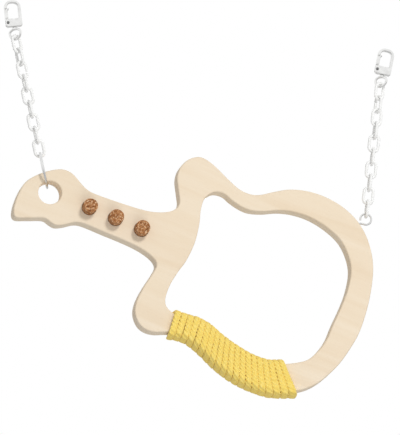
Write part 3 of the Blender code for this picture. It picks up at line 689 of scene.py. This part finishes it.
def cork_mesh(seed):
    """Cork along Z with pits in its side and end. Its foot is in the pocket."""
    tip = BOARD_THICKNESS / 2 + CORK_PROUD
    base = BOARD_THICKNESS / 2 - CORK_POCKET_DEPTH + CLEARANCE
    profile = [(CORK_RADIUS * k / CORK_END_RINGS, tip) for k in range(1, CORK_END_RINGS - 1)]
    for angle in (90, 60, 30, 0):
        a = math.radians(angle)
        inset, drop = CORK_CHAMFER * (1 - math.cos(a)), CORK_CHAMFER * (1 - math.sin(a))
        profile.append((CORK_RADIUS - inset, tip - drop))
    profile += [(CORK_RADIUS, z) for z in np.linspace(tip - 2 * CORK_CHAMFER, base, CORK_SIDE_RINGS)]
    mesh = lathe("cork", [(0, tip), *profile, (0, base)], CORK_SIDES)
    away = Vector([step * seed for step in CORK_NOISE_STEP])
    for vertex in mesh.vertices:
        fine = noise.noise(vertex.co * CORK_PIT_SCALE + away)
        broad = noise.noise(vertex.co * CORK_SWELL_SCALE - away)
        pit = max(0.0, fine - CORK_PIT_START) ** CORK_PIT_POWER
        vertex.co -= vertex.normal * (CORK_PIT_DEPTH * pit + CORK_SWELL_DEPTH * (broad + CORK_SWELL_SHIFT))
    mesh.shade_smooth()
    return mesh


def rail_edges(share):
    """Window edge and outer edge of the rail, at a share from 0 to 1 of the rope's run."""
    pairs = np.array(RAIL) * MM
    before = 2 * pairs[0] - pairs[1]
    after = 2 * pairs[-1] - pairs[-2]
    pairs = np.concatenate((before[None], pairs, after[None]))
    spans = len(RAIL) - 1
    at = min(max(share, 0), 1) * spans
    k = min(int(at), spans - 1)
    return spline_point(*pairs[k:k + 4], at - k)


def even_shares(places):
    """Shares at these places, from 0 to 1, along the middle of the rail."""
    fine = np.linspace(0, 1, RAIL_SAMPLES)
    middle = np.array([rail_edges(s).mean(axis=0) for s in fine])
    run = np.concatenate(((0,), np.cumsum(np.linalg.norm(np.diff(middle, axis=0), axis=1))))
    return np.interp(np.asarray(places) * run[-1], run, fine)


def rail_section(share):
    """Middle of the rail, way towards the window, and half sizes of the section inside its rounding."""
    inner, outer = rail_edges(share)
    width = np.linalg.norm(inner - outer)
    straight = (width / 2 - BOARD_EDGE_ROUND, BOARD_THICKNESS / 2 - BOARD_EDGE_ROUND)
    return (inner + outer) / 2, (inner - outer) / width, straight


def around_rail(share, turn):
    """Rope's middle and the way out of the wood, after this many turns from the back's lower edge."""
    middle, across, straight = rail_section(share)
    reach = BOARD_EDGE_ROUND + ROPE_HALF_HEIGHT
    corner = math.pi / 2 * reach
    left = (turn % 1) * (4 * sum(straight) + 4 * corner)
    for side in range(4):
        length = 2 * straight[side % 2]
        if left < length:
            spot = (left - length / 2, straight[(side + 1) % 2] + reach, 0.0, 1.0)
            break
        left -= length
        if left < corner or side == 3:
            a = min(left / reach, math.pi / 2)
            spot = (length / 2 + reach * math.sin(a), straight[(side + 1) % 2] + reach * math.cos(a),
                    math.sin(a), math.cos(a))
            break
        left -= corner
    w, d, out_w, out_d = spot
    for _ in range(side):
        w, d, out_w, out_d = d, -w, out_d, -out_w
    flat = middle + w * across
    out = out_w * across
    return (flat[0], d, flat[1]), (out[0], out_d, out[1])


def rope_hole(share, offset):
    """Where a rope end goes into the back of the rail."""
    middle, across, _ = rail_section(share)
    flat = middle + offset * across
    return np.array((flat[0], BOARD_THICKNESS / 2, flat[1]))


def rope_end(hole, towards):
    """Out of the hole, through a quarter bend and along the back to the winding's nearest point."""
    run = np.array(towards) - hole
    run[1] = 0
    run /= np.linalg.norm(run)
    back = np.array((0, 1, 0))
    lift = ROPE_HALF_HEIGHT
    path = [hole - back * depth for depth in np.linspace(ROPE_END_DEPTH, 0, 8)[:-1]]
    out = [-run] * len(path)
    for angle in np.radians(np.linspace(0, 90, 7)):
        path.append(hole + run * lift * (1 - math.cos(angle)) + back * lift * math.sin(angle))
        out.append(-run * math.cos(angle) + back * math.sin(angle))
    stretch = evenly((path[-1], towards), ROPE_END_STEP, False)[1:-1]
    return path + list(stretch), out + [back] * len(stretch)


def rope_mesh():
    """Three-strand rope wound on the rail, and the two holes that its ends go into."""
    def turn_at(share, place):
        _, _, straight = rail_section(share)
        corner = math.pi / 2 * (BOARD_EDGE_ROUND + ROPE_HALF_HEIGHT)
        return straight[0] * (1 + place) / (4 * sum(straight) + 4 * corner)

    margin = 1 / (ROPE_SOLID_STATIONS * ROPE_TURNS + 1)
    turns = np.arange(turn_at(0, ROPE_START), ROPE_TURNS + turn_at(1, -ROPE_START), 1 / ROPE_STATIONS)
    places = np.interp(turns, (turns[0], turns[-1]), (margin, 1 - margin))
    shares = even_shares(places)
    spots = [around_rail(share, turn) for share, turn in zip(shares, turns)]
    path = np.array([spot[0] for spot in spots])
    out = np.array([spot[1] for spot in spots])
    along_rail = np.gradient(np.array([rail_section(share)[0] for share in shares]), axis=0)
    along_rail /= np.linalg.norm(along_rail, axis=1)[:, None]
    wander = ROPE_WANDER * np.array([noise.noise((turn * ROPE_WANDERS_A_TURN, 5, 2)) for turn in turns])
    wander *= np.clip(np.minimum(turns - turns[0], turns[-1] - turns) - 0.5, 0, 1)
    path[:, 0] += wander * along_rail[:, 0]
    path[:, 2] += wander * along_rail[:, 1]
    to_next = path[ROPE_STATIONS:] - path[:-ROPE_STATIONS]
    half_turn = (np.concatenate((to_next[:ROPE_STATIONS], to_next))
                 + np.concatenate((to_next, to_next[-ROPE_STATIONS:]))) / 4

    holes = (rope_hole(0, -ROPE_HOLE_OFFSET), rope_hole(1, ROPE_HOLE_OFFSET))
    first, first_out = rope_end(holes[0], path[0])
    last, last_out = rope_end(holes[1], path[-1])
    path = np.concatenate((first, path, last[::-1]))
    out = np.concatenate((first_out, out, last_out[::-1]))
    ends = []
    for line, ways, beside in ((first, first_out, half_turn[0]),
                               (last[::-1], last_out[::-1], half_turn[-1])):
        square = np.cross(np.gradient(np.array(line), axis=0), ways)
        square *= ROPE_END_HALF_WIDTH / np.linalg.norm(square, axis=1)[:, None]
        ends.append(square * np.sign(square @ beside)[:, None])
    across = np.concatenate((ends[0], half_turn, ends[1]))
    easing = np.ones(ROPE_EASING) / ROPE_EASING
    padded = [np.pad(column, ROPE_EASING // 2, mode="edge") for column in across.T]
    across = np.column_stack([np.convolve(column, easing, mode="valid") for column in padded])

    run = np.concatenate(((0,), np.cumsum(np.linalg.norm(np.diff(path, axis=0), axis=1))))
    angles = 2 * math.pi * np.arange(ROPE_SIDES) / ROPE_SIDES
    drift = np.array([ROPE_DRIFT * noise.noise((at * ROPE_DRIFT_SCALE, 0, 0)) for at in run])
    closed = np.array([noise.noise((at * ROPE_CLOSED_SCALE, 3, 7)) for at in run])
    closed = np.clip(ROPE_CLOSED_SHARE - ROPE_CLOSED_SPREAD * closed, 0, 1)[:, None]
    lay_turn = 2 * math.pi * run[:, None] / ROPE_LAY + drift[:, None]
    strand = np.abs(np.cos(ROPE_STRANDS / 2 * (angles[None] - lay_turn)))
    side = np.abs(np.sin(angles[None])) ** ROPE_SIDE_POWER
    reach = 1 - ROPE_GROOVE * (1 - ROPE_CLOSING * side * closed) * (1 - strand**ROPE_CROWN_POWER)
    flat, wide = (np.sign(part) * np.abs(part) ** ROPE_SQUARENESS
                  for part in (np.cos(angles), np.sin(angles)))
    section = np.stack((ROPE_HALF_HEIGHT * reach * flat, ROPE_PRESS * reach * wide), axis=2)
    mesh = tube("perch_rope_cotton", path, out, section, False, across=across)
    # Painted shade: the share of darker brown in the grooves, full between the strands where a gap to the
    # next turn is open at the rope's sides, weaker elsewhere
    tone = (1 - strand) * (1 - ROPE_GROOVE_SHADE_FADE * (1 - side * (1 - closed)))
    painted_groove_shade = mesh.attributes.new("painted_groove_shade", "FLOAT", "POINT")
    painted_groove_shade.data.foreach_set("value", tone.astype(np.float32).ravel())
    lay = mesh.uv_layers.new(name="lay")
    stations = len(path)
    for polygon in mesh.polygons:
        corners = list(polygon.vertices)
        wraps = {k % ROPE_SIDES for k in corners} >= {0, ROPE_SIDES - 1} and len(corners) == 4
        for loop, k in zip(polygon.loop_indices, corners):
            around = k % ROPE_SIDES
            if wraps and around == 0:
                around = ROPE_SIDES
            lay.data[loop].uv = (around / ROPE_SIDES, run[min(k // ROPE_SIDES, stations - 1)])
    return mesh, holes


def screw_eye_mesh():
    """Wire with a pointed shank, bent into an eye that nearly closes on its neck."""
    centre = SCREW_EYE_NECK + SCREW_EYE_RADIUS + SCREW_EYE_WIRE
    stem = [(0, z) for z in np.linspace(-SCREW_EYE_SHANK, SCREW_EYE_NECK - SCREW_EYE_BEND, 24)]
    loop = arc((0, centre), SCREW_EYE_RADIUS, -60, 248, 60)
    top = np.array(stem[-1])
    bend = [spline_point(top - (0, 3 * MM), top, np.array(loop[0]), np.array(loop[8]), t)
            for t in np.linspace(0, 1, 10)[1:-1]]
    path = in_plane(evenly(np.array(stem + [tuple(p) for p in bend] + loop), SCREW_EYE_STEP, False))
    height = np.array([p[2] for p in path])
    near_tip = np.clip((np.arange(len(path)) * SCREW_EYE_STEP + SCREW_EYE_POINT) / SCREW_EYE_TIP, 0, 1)
    radius = SCREW_EYE_WIRE * np.where(height < 0, near_tip, 1.0)
    section = radius[:, None, None] * circle(1.0, WIRE_SIDES)
    return tube("screw_eye_wire", path, (0, 1, 0), section, False, SWEPT_SHARP_ANGLE)


def hook_outline():
    half = HOOK_HALF_WIDTH
    inside = half - HOOK_BAR
    corner_x = half - HOOK_CORNER
    corner_z = HOOK_BAR - HOOK_CORNER
    inner_radius = HOOK_CORNER - HOOK_BAR
    bottom = -HOOK_THROAT - HOOK_BASE_HEIGHT
    foot = half - HOOK_BASE_CHAMFER
    points = [(-foot, bottom), (foot, bottom), (half, bottom + HOOK_BASE_CHAMFER)]
    points += arc((corner_x, corner_z), HOOK_CORNER, 0, 90, HOOK_CORNER_STEPS)
    points += arc((-corner_x, corner_z), HOOK_CORNER, 90, 180, HOOK_CORNER_STEPS)
    points += [(-half, -HOOK_NOSE), (-inside, -HOOK_NOSE)]
    points += arc((-corner_x, corner_z), inner_radius, 180, 90, HOOK_CORNER_STEPS)
    points += arc((corner_x, corner_z), inner_radius, 90, 0, HOOK_CORNER_STEPS)
    points += [(inside, -HOOK_THROAT), (-half, -HOOK_THROAT), (-half, bottom + HOOK_BASE_CHAMFER)]
    return points


def hook_meshes():
    """Frame, gate, rivet and swivel eye of a snap hook, with its seat at the origin."""
    half = HOOK_HALF_WIDTH
    inside = half - HOOK_BAR
    base_top = -HOOK_THROAT
    base_bottom = base_top - HOOK_BASE_HEIGHT
    pivot = Vector((-half + RIVET_INSET, 0, base_top - RIVET_DROP))
    heel_reach = GATE_HEEL_RADIUS + CLEARANCE
    slot_floor = pivot.z - heel_reach - SPRING_THICKNESS - SPRING_BOW - CLEARANCE
    counterbore_floor = base_bottom + POST_FLOOR
    above = base_top + HOOK_BAR
    below = base_bottom - HOOK_BAR
    outside = -half - HOOK_BAR
    slot_end = pivot.x + heel_reach
    mouth_end = slot_end + (base_top - pivot.z) * math.tan(GATE_OPENING) + CLEARANCE
    slot = [(outside, slot_floor), (slot_end, slot_floor), (slot_end, pivot.z), (mouth_end, base_top),
            (mouth_end, above), (outside, above)]
    rivet_place = Matrix.Translation(pivot) @ Matrix.Rotation(math.pi / 2, 4, "X")
    hole = RIVET_RADIUS + CLEARANCE
    hole_profile = ((0, HOOK_DEPTH), (hole, HOOK_DEPTH), (hole, -HOOK_DEPTH), (0, -HOOK_DEPTH))
    rivet_hole = lathe("rivet_hole", hole_profile, RIVET_SIDES)
    wide_bore = POST_HEAD_RADIUS + CLEARANCE
    post_bore = POST_RADIUS + CLEARANCE
    bore = ((0, above), (wide_bore, above), (wide_bore, counterbore_floor), (post_bore, counterbore_floor),
            (post_bore, below), (0, below))
    hook_frame = carved("hook_frame", prism("hook_blank", hook_outline(), HOOK_DEPTH), (
        (prism("slot", slot, GATE_TONGUE_WIDTH + 2 * CLEARANCE), Matrix(), "DIFFERENCE"),
        (rivet_hole, rivet_place, "DIFFERENCE"),
        (lathe("bore", bore, POST_SIDES), Matrix(), "DIFFERENCE"),
    ), HOOK_EDGE_ROUND)

    gate_top = -HOOK_NOSE - GATE_END_GAP
    lip_inside = -inside + CLEARANCE
    gate_inside = lip_inside - CLEARANCE / 2
    heel_rise = (gate_inside - pivot.x) * math.tan(GATE_OPENING) + CLEARANCE
    lip_end = lip_inside + GATE_LIP
    lip_top = -HOOK_NOSE + GATE_LIP_REACH
    bar = [(-half, base_top + CLEARANCE), (gate_inside, base_top + CLEARANCE + heel_rise),
           (gate_inside, gate_top - GATE_LIP), (lip_end, gate_top), (lip_end, lip_top),
           (lip_inside, lip_top), (lip_inside, gate_top), (-half, gate_top)]
    tongue_top = base_top + heel_rise + 2 * CLEARANCE
    tongue = [(pivot.x - GATE_HEEL_RADIUS, tongue_top)]
    tongue += arc((pivot.x, pivot.z), GATE_HEEL_RADIUS, 180, 360, HEEL_STEPS)
    tongue += [(min(pivot.x + GATE_HEEL_RADIUS, gate_inside), tongue_top)]
    gate = carved("gate", prism("gate_bar", bar, HOOK_DEPTH), (
        (prism("tongue", tongue, GATE_TONGUE_WIDTH), Matrix(), "UNION"),
        (rivet_hole, rivet_place, "DIFFERENCE"),
    ), GATE_EDGE_ROUND)

    cheek = HOOK_DEPTH / 2 + CLEARANCE
    dome = [(RIVET_HEAD_RADIUS * math.cos(a), cheek + RIVET_HEAD_HEIGHT * math.sin(a))
            for a in np.radians((75, 55, 35, 15, 0))]
    profile = [(0, cheek + RIVET_HEAD_HEIGHT), *dome, (RIVET_RADIUS, cheek), (RIVET_RADIUS, -cheek),
               *[(r, -z) for r, z in reversed(dome)], (0, -cheek - RIVET_HEAD_HEIGHT)]
    rivet = lathe("rivet", profile, RIVET_SIDES)

    collar_top = base_bottom - CLEARANCE
    collar_low = collar_top - COLLAR_HEIGHT
    head_low = counterbore_floor + CLEARANCE
    head_top = head_low + POST_HEAD_HEIGHT
    loop_centre = -SEAT_TO_EYE + EYE_HALF_WIDTH
    loop = arc((0, loop_centre), EYE_HALF_WIDTH, 180, 360, EYE_STEPS)
    squeeze = EYE_SHOULDER / EYE_HALF_WIDTH
    shoulder = arc((0, 0), EYE_HALF_WIDTH, 0, 180, EYE_STEPS)[1:-1]
    loop += [(x, loop_centre + z * squeeze) for x, z in shoulder]
    eye = tube("eye", in_plane(loop), (0, 1, 0), circle(EYE_WIRE, EYE_WIRE_SIDES), True)
    collar_flat = COLLAR_RADIUS - COLLAR_ROUND
    post = ((0, head_top), (POST_HEAD_RADIUS, head_top), (POST_HEAD_RADIUS, head_low),
            (POST_RADIUS, head_low), (POST_RADIUS, collar_top), (collar_flat, collar_top),
            (COLLAR_RADIUS, collar_top - COLLAR_ROUND), (COLLAR_RADIUS, collar_low + COLLAR_ROUND),
            (collar_flat, collar_low), (0, collar_low))
    eye = carved("swivel_eye", eye, (
        (lathe("post", post, POST_SIDES), Matrix.Rotation(-SWIVEL_EYE_TURN, 4, "Z"), "UNION"),))
    return {"frame": hook_frame, "gate": gate, "rivet": rivet, "eye": eye}, rivet_place


def add_hook(side, lean, seat, finish):
    meshes, rivet_place = hook_meshes()
    place = Matrix.Translation(seat) @ turned(lean)
    for shape, kind, spot, metal, slot in (
        ("frame", "hook_frame", place, "plated", "plated"),
        ("gate", "gate", place, "plated", "plated"),
        ("rivet", "gate_rivet", place @ rivet_place, "rivet", "steel"),
        ("eye", "swivel_eye", place @ turned(0, SWIVEL_EYE_TURN), "plated", "plated"),
    ):
        cad_node = f"{side}_{kind}"
        even_shading(add_piece(cad_node + "_metal", meshes[shape], finish[metal], spot, cad_node))
    spring = frame["nodes"][f"{side}_gate_spring"]
    spring.data.materials.clear()
    spring.data.materials.append(finish["steel"])


def link_mesh():
    """Moulded link with a faint seam round its outside and inside."""
    radius = (LINK_WIDTH - 2 * LINK_WIRE) / 2
    straight = LINK_LENGTH / 2 - radius
    path = arc((0, straight), radius, 0, 180, LINK_END_STEPS)
    path += arc((0, -straight), radius, 180, 360, LINK_END_STEPS)
    section = circle(LINK_WIRE, LINK_SIDES)
    for seam in (LINK_SIDES // 4, LINK_SIDES * 3 // 4):
        section[seam] *= 1 + LINK_SEAM / LINK_WIRE
    return tube("chain_link", evenly(in_plane(path), LINK_STEP, True), (0, 1, 0), section, True)


def chain_drop(count):
    """From the wire at the bottom of a swivel eye to the wire at the bottom of the link of that count."""
    return LINK_LENGTH - (EYE_WIRE + LINK_WIRE + PIVOT_PLAY) + (count - 1) * LINK_PITCH


def add_chain(side, lean, eye_bottom, link_turns, mesh, finish):
    for count, turn in enumerate(link_turns, 1):
        centre = eye_bottom - up_along(lean) * (chain_drop(count) - LINK_LENGTH / 2)
        place = Matrix.Translation(centre) @ turned(lean, math.radians(turn))
        cad_node = f"{side}_link_{count}"
        add_piece(cad_node + "_plastic", mesh, finish["chain"], place, cad_node)


def add_board(place, finish):
    """The board with its corks, rope and screw eye. Gives the middle of the screw eye's loop."""
    rope, holes = rope_mesh()
    wood = board_mesh(holes)
    even_shading(add_piece("guitar_board_wood", wood, finish["wood"], place, "guitar_board"))
    add_piece("perch_rope_cotton", rope, finish["rope"], place, "perch_rope")
    towards_front = Matrix.Rotation(math.pi / 2, 4, "X")
    for k, (along, across) in enumerate(CORK_PLACES, 1):
        spot = place @ Matrix.Translation((along * MM, 0, across * MM)) @ towards_front
        add_piece(f"cork_plug_{k}_cork", cork_mesh(k), finish["cork"], spot, f"cork_plug_{k}")
    at = OUTER_TOP.index(SCREW_EYE_PLACE)
    edge = Vector(OUTER_TOP[at + 1]) - Vector(OUTER_TOP[at - 1])
    lean = math.atan2(-edge.y, edge.x)
    along, across = SCREW_EYE_PLACE
    spot = place @ Matrix.Translation((along * MM, 0, across * MM)) @ turned(lean)
    add_piece("screw_eye_wire", screw_eye_mesh(), finish["steel"], spot, "screw_eye")
    return spot @ Vector((0, 0, SCREW_EYE_NECK + SCREW_EYE_RADIUS + SCREW_EYE_WIRE))


def add_object(finish):
    """Every piece, from the left hook down its chain, along the board and up to the right hook."""
    link = link_mesh()
    left_eye = -up_along(LEFT_HOOK_LEAN) * SEAT_TO_EYE
    add_hook("left", LEFT_HOOK_LEAN, Vector((0, 0, 0)), finish)
    add_chain("left", LEFT_CHAIN_LEAN, left_eye, LEFT_LINK_TURNS, link, finish)

    up = up_along(LEFT_CHAIN_LEAN)
    last_link = left_eye - up * chain_drop(len(LEFT_LINK_TURNS))
    ring_bottom = last_link + up * (LINK_WIRE + RING_WIRE + CLEARANCE - 2 * RING_RADIUS)
    half_split = math.degrees(RING_SPLIT / RING_RADIUS / 2)
    ring_path = in_plane(arc((0, 0), RING_RADIUS, half_split, 360 - half_split, RING_STEPS))
    ring = tube("head_ring_wire", ring_path, (0, 1, 0), circle(RING_WIRE, WIRE_SIDES), False,
                SWEPT_SHARP_ANGLE)
    ring_place = Matrix.Translation(ring_bottom + up * RING_RADIUS) @ turned(LEFT_CHAIN_LEAN, RING_TURN)
    add_piece("head_ring_wire", ring, finish["steel"], ring_place, "head_ring")

    inner = RING_RADIUS - RING_WIRE
    through = BOARD_THICKNESS / 2 / math.sin(RING_TURN)
    ring_to_hole = RING_WIRE + inner - math.sqrt(inner**2 - through**2) + CLEARANCE
    hole_centre = ring_bottom + up * (ring_to_hole - HEAD_HOLE_RADIUS)
    screw_eye = add_board(Matrix.Translation(hole_centre) @ turned(BOARD_HANG_ANGLE), finish)

    up = up_along(RIGHT_CHAIN_LEAN)
    last_link = screw_eye + up * (SCREW_EYE_RADIUS - SCREW_EYE_WIRE - LINK_WIRE - PIVOT_PLAY)
    right_eye = last_link + up * chain_drop(len(RIGHT_LINK_TURNS))
    add_chain("right", RIGHT_CHAIN_LEAN, right_eye, RIGHT_LINK_TURNS, link, finish)
    add_hook("right", RIGHT_HOOK_LEAN, right_eye + up_along(RIGHT_HOOK_LEAN) * SEAT_TO_EYE, finish)


def add_light(name, spot, size, power):
    lamp = bpy.data.lights.new(name, "AREA")
    lamp.shape = "DISK"
    lamp.size = size
    lamp.energy = power
    made = bpy.data.objects.new(name, lamp)
    bpy.context.scene.collection.objects.link(made)
    made.location = spot
    made.rotation_mode = "QUATERNION"
    made.rotation_quaternion = (Vector(CAMERA_TARGET) - Vector(spot)).to_track_quat("-Z", "Y")
    made.visible_camera = False
    made.visible_glossy = False


def seen_directly(tree):
    """One for rays that show a surface to the camera, straight or in metal or glass, else zero."""
    ray = node(tree, "ShaderNodeLightPath").outputs
    seen = ray["Is Camera Ray"]
    for kind in ("Is Glossy Ray", "Is Transmission Ray"):
        seen = node(tree, "ShaderNodeMath", {0: seen, 1: ray[kind]}, operation="MAXIMUM").outputs[0]
    return seen


def mix_shaders(tree, share, first, second):
    made = node(tree, "ShaderNodeMixShader", {0: share, 1: first.outputs[0], 2: second.outputs[0]})
    return made.outputs[0]


def add_stage():
    """Pale floor, white surroundings, soft light from the upper right and behind, and a weak fill below."""
    half = FLOOR_SIZE / 2
    corners = ((-half, -half), (half, -half), (half, half), (-half, half))
    mesh = bpy.data.meshes.new("floor")
    mesh.from_pydata([(x, y, FLOOR_HEIGHT) for x, y in corners], [], [(0, 1, 2, 3)])
    pale, tree, shader = new_material("pale_floor", Base_Color=(0.86, 0.86, 0.86, 1), Roughness=0.9)
    share = node(tree, "ShaderNodeMath", {0: seen_directly(tree), 1: FLOOR_GLOW}, operation="MULTIPLY")
    glow = node(tree, "ShaderNodeEmission", {"Color": (1, 1, 1, 1), "Strength": 1.0})
    surface = mix_shaders(tree, share.outputs[0], shader, glow)
    tree.links.new(surface, tree.nodes["Material Output"].inputs["Surface"])
    mesh.materials.append(pale)
    floor = bpy.data.objects.new("floor", mesh)
    bpy.context.scene.collection.objects.link(floor)

    world = bpy.data.worlds.new("surroundings")
    bpy.context.scene.world = world
    world.use_nodes = True
    tree = world.node_tree
    tree.nodes.clear()
    light = node(tree, "ShaderNodeBackground", {"Color": (1, 1, 1, 1), "Strength": SURROUNDING_LIGHT})
    white = node(tree, "ShaderNodeBackground", {"Color": (1, 1, 1, 1), "Strength": 1.0})
    node(tree, "ShaderNodeOutputWorld", {"Surface": mix_shaders(tree, seen_directly(tree), light, white)})

    for lamp in LAMPS:
        add_light(*lamp)


def add_camera():
    data = bpy.data.cameras.new("camera")
    data.sensor_width = SENSOR_SIZE
    data.lens = SENSOR_SIZE * CAMERA_DISTANCE / VIEW_HEIGHT
    made = bpy.data.objects.new("camera", data)
    bpy.context.scene.collection.objects.link(made)
    back = Vector((math.sin(CAMERA_AZIMUTH) * math.cos(CAMERA_ELEVATION),
                   -math.cos(CAMERA_AZIMUTH) * math.cos(CAMERA_ELEVATION), math.sin(CAMERA_ELEVATION)))
    made.location = Vector(CAMERA_TARGET) + back * CAMERA_DISTANCE
    made.rotation_mode = "QUATERNION"
    made.rotation_quaternion = (-back).to_track_quat("-Z", "Y") @ Quaternion((0, 0, 1), CAMERA_ROLL)
    bpy.context.scene.camera = made


add_object({
    "wood": wood_material(),
    "cork": cork_material(),
    "rope": rope_material(),
    "chain": plastic_material(),
    "plated": metal_material("nickel_plate", (0.77, 0.77, 0.76), (0.88, 0.88, 0.87), 0.14, 0.34,
                             (1400, 1400, 1400), 0.05 * MM),
    "steel": metal_material("steel_wire", (0.68, 0.68, 0.68), (0.83, 0.83, 0.82), 0.16, 0.36,
                            (700, 2600, 700), 0.04 * MM),
    "rivet": metal_material("dark_rivet", (0.17, 0.17, 0.17), (0.27, 0.27, 0.27), 0.35, 0.60,
                            (1200, 1200, 1200), 0.04 * MM),
})
add_stage()
add_camera()
bpy.context.scene.view_settings.view_transform = "Standard"
